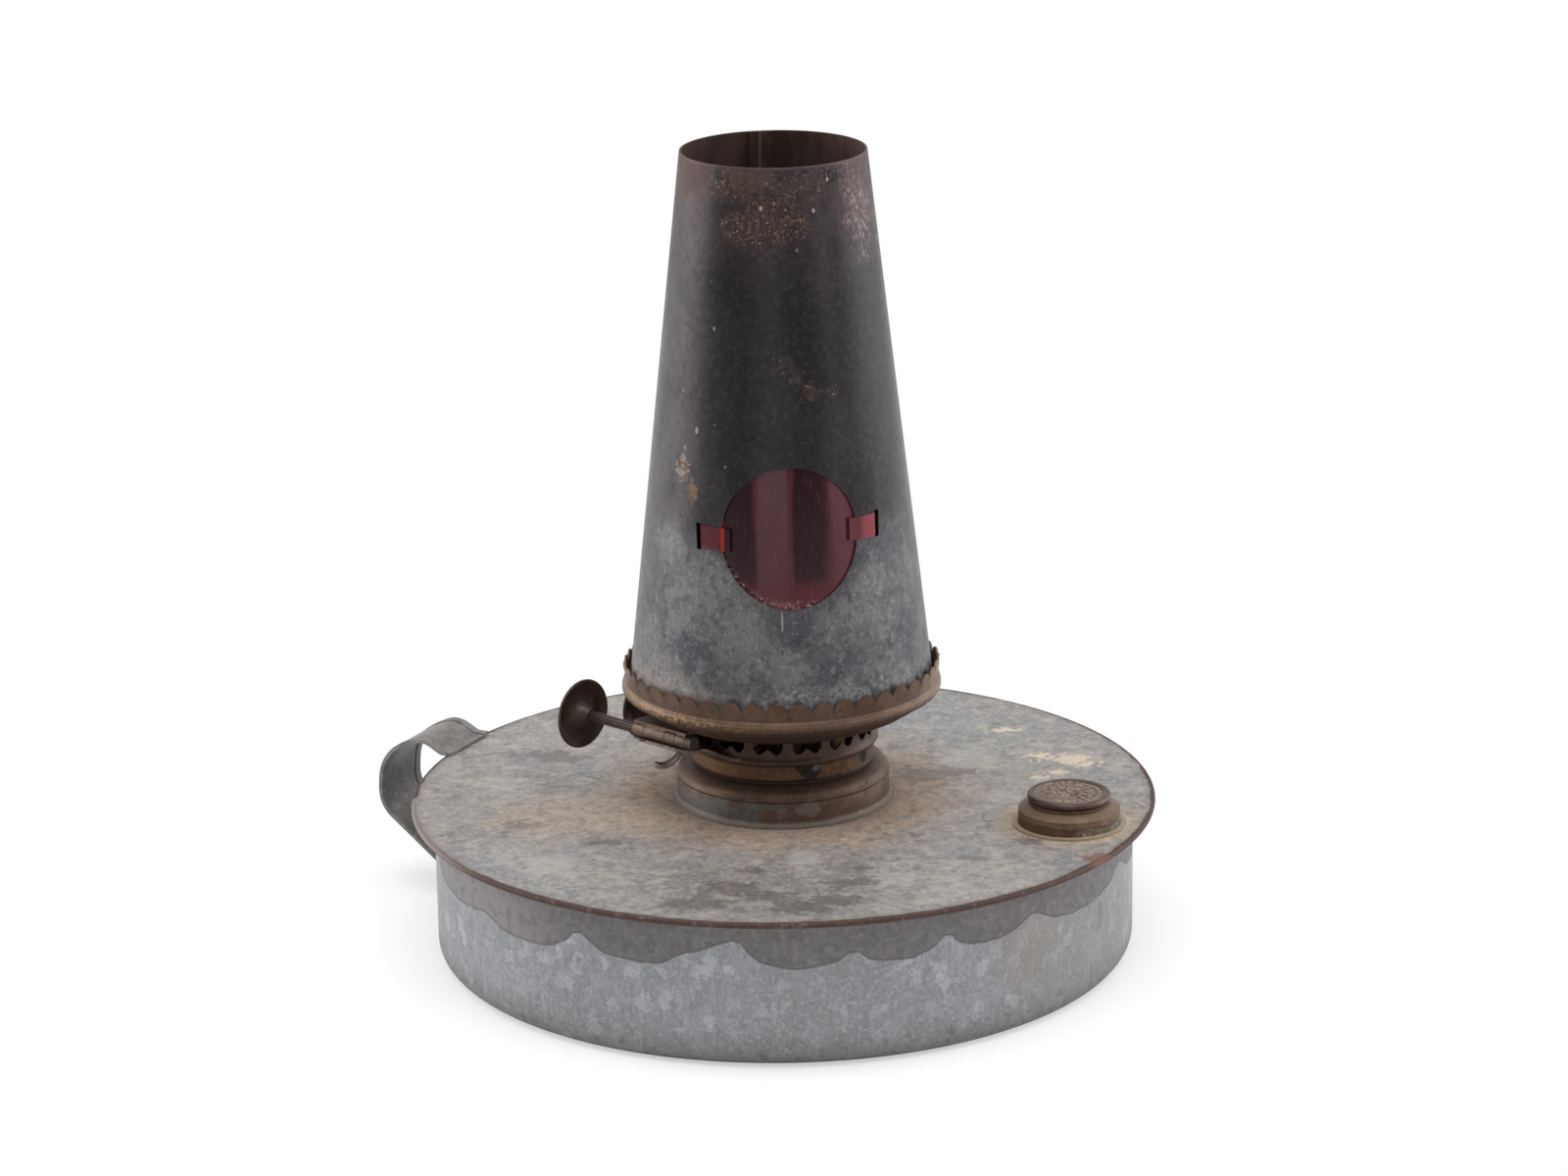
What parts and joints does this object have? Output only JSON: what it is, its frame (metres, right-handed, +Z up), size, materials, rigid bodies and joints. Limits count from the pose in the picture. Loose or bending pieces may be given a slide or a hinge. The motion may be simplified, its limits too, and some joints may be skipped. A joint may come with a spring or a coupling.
{
  "type": "brooder lamp",
  "caption": "Oil lamp for a chick brooder: round galvanised tank with strap handle and filler, flat wick burner, hinged gallery, tall tapered chimney with a red window.",
  "frame": {"origin": "centre of the tank's underside, on the surface it stands on", "axes": "+Z up along the chimney, -Y towards the window, so the filler is at +X and the handle at -X"},
  "size_m": [0.2026, 0.1904, 0.2075],
  "materials": {
    "galvanised_tank": "dull galvanised sheet, spangled and soiled",
    "galvanised_top": "dull galvanised sheet under dust and dried oil",
    "handle_sheet": "dull galvanised strap with hemmed edges",
    "collar_brass": "brown oxidised brass",
    "filler_brass": "brown and golden oxidised brass",
    "cap_brass": "dark tarnished brass",
    "cork": "pressed cork",
    "leather_seal": "oiled leather",
    "burner_brass": "mottled golden brown brass",
    "inner_brass": "dull brass",
    "hinge_brass": "grey-brown tarnished brass",
    "wheel_brass": "dark bronzed brass",
    "spring_steel": "dull spring steel",
    "gallery_brass": "red-brown oxidised brass",
    "dome_brass": "heat-stained brass",
    "cotton": "woven cotton",
    "sheet_iron": "blackened sheet with specks of corrosion",
    "red_mica": "dark red translucent sheet"
  },
  "bodies": {
    "tank": {"tank_wall": "galvanised_tank", "tank_bottom": "galvanised_tank", "tank_top": "galvanised_top", "handle_strap": "handle_sheet", "burner_collar": "collar_brass", "filler_neck": "filler_brass"},
    "cap_seal": {"cap_washer": "cork"},
    "cap": {"filler_cap": "cap_brass"},
    "burner_seal": {"burner_washer": "leather_seal"},
    "burner": {"burner_ring": "burner_brass", "air_basket": "burner_brass", "draft_screen": "inner_brass", "wick_tube": "inner_brass", "vent_tube": "inner_brass", "winder_sleeve": "inner_brass", "hinge_tongue": "hinge_brass", "catch_spring": "spring_steel"},
    "winder": {"winder_shaft": "hinge_brass", "spur_wheels": "inner_brass", "winder_wheel": "wheel_brass"},
    "wick": {"wick": "cotton"},
    "gallery": {"gallery_ring": "gallery_brass", "flame_dome": "dome_brass", "hinge_leaf": "hinge_brass", "lifter_pin": "hinge_brass", "lifter_wheel": "wheel_brass"},
    "chimney": {"chimney_cone": "sheet_iron", "chimney_seam": "sheet_iron", "window_pane": "red_mica"}
  },
  "joints": [
    {"name": "cap_lift", "type": "slide", "parent": "tank", "child": "cap_seal", "axis": [0, 0, 1], "range_m": [0, 0.0064]},
    {"name": "cap_turn", "type": "hinge", "parent": "cap_seal", "child": "cap", "pos_m": [0.07175, -0.02654, 0.045], "axis": [0, 0, 1], "range_deg": [0, 1446]},
    {"name": "burner_lift", "type": "slide", "parent": "tank", "child": "burner_seal", "axis": [0, 0, 1], "range_m": [0, 0.0083]},
    {"name": "burner_turn", "type": "hinge", "parent": "burner_seal", "child": "burner", "pos_m": [0, 0, 0.05], "axis": [0, 0, 1], "range_deg": [0, 1440]},
    {"name": "winder_turn", "type": "hinge", "parent": "burner", "child": "winder", "pos_m": [-0.00415, -0.00461, 0.0562], "axis": [0.7431, -0.6691, 0], "range_deg": [-137, 20]},
    {"name": "wick_travel", "type": "slide", "parent": "burner", "child": "wick", "axis": [0, 0, 1], "range_m": [-0.01, 0.0012]},
    {"name": "gallery_tilt", "type": "hinge", "parent": "burner", "child": "gallery", "pos_m": [-0.02108, -0.02341, 0.0605], "axis": [0.7431, -0.6691, 0], "range_deg": [0, 90]},
    {"name": "chimney_lift", "type": "slide", "parent": "gallery", "child": "chimney", "axis": [0, 0, 1], "range_m": [0, 0.04]}
  ],
  "couplings": [
    {"joint": "cap_turn", "follows": "cap_lift", "rad_per_m": 3927},
    {"joint": "burner_lift", "follows": "burner_turn", "m_per_rad": 0.00031831},
    {"joint": "winder_turn", "follows": "wick_travel", "rad_per_m": 232.56}
  ]
}
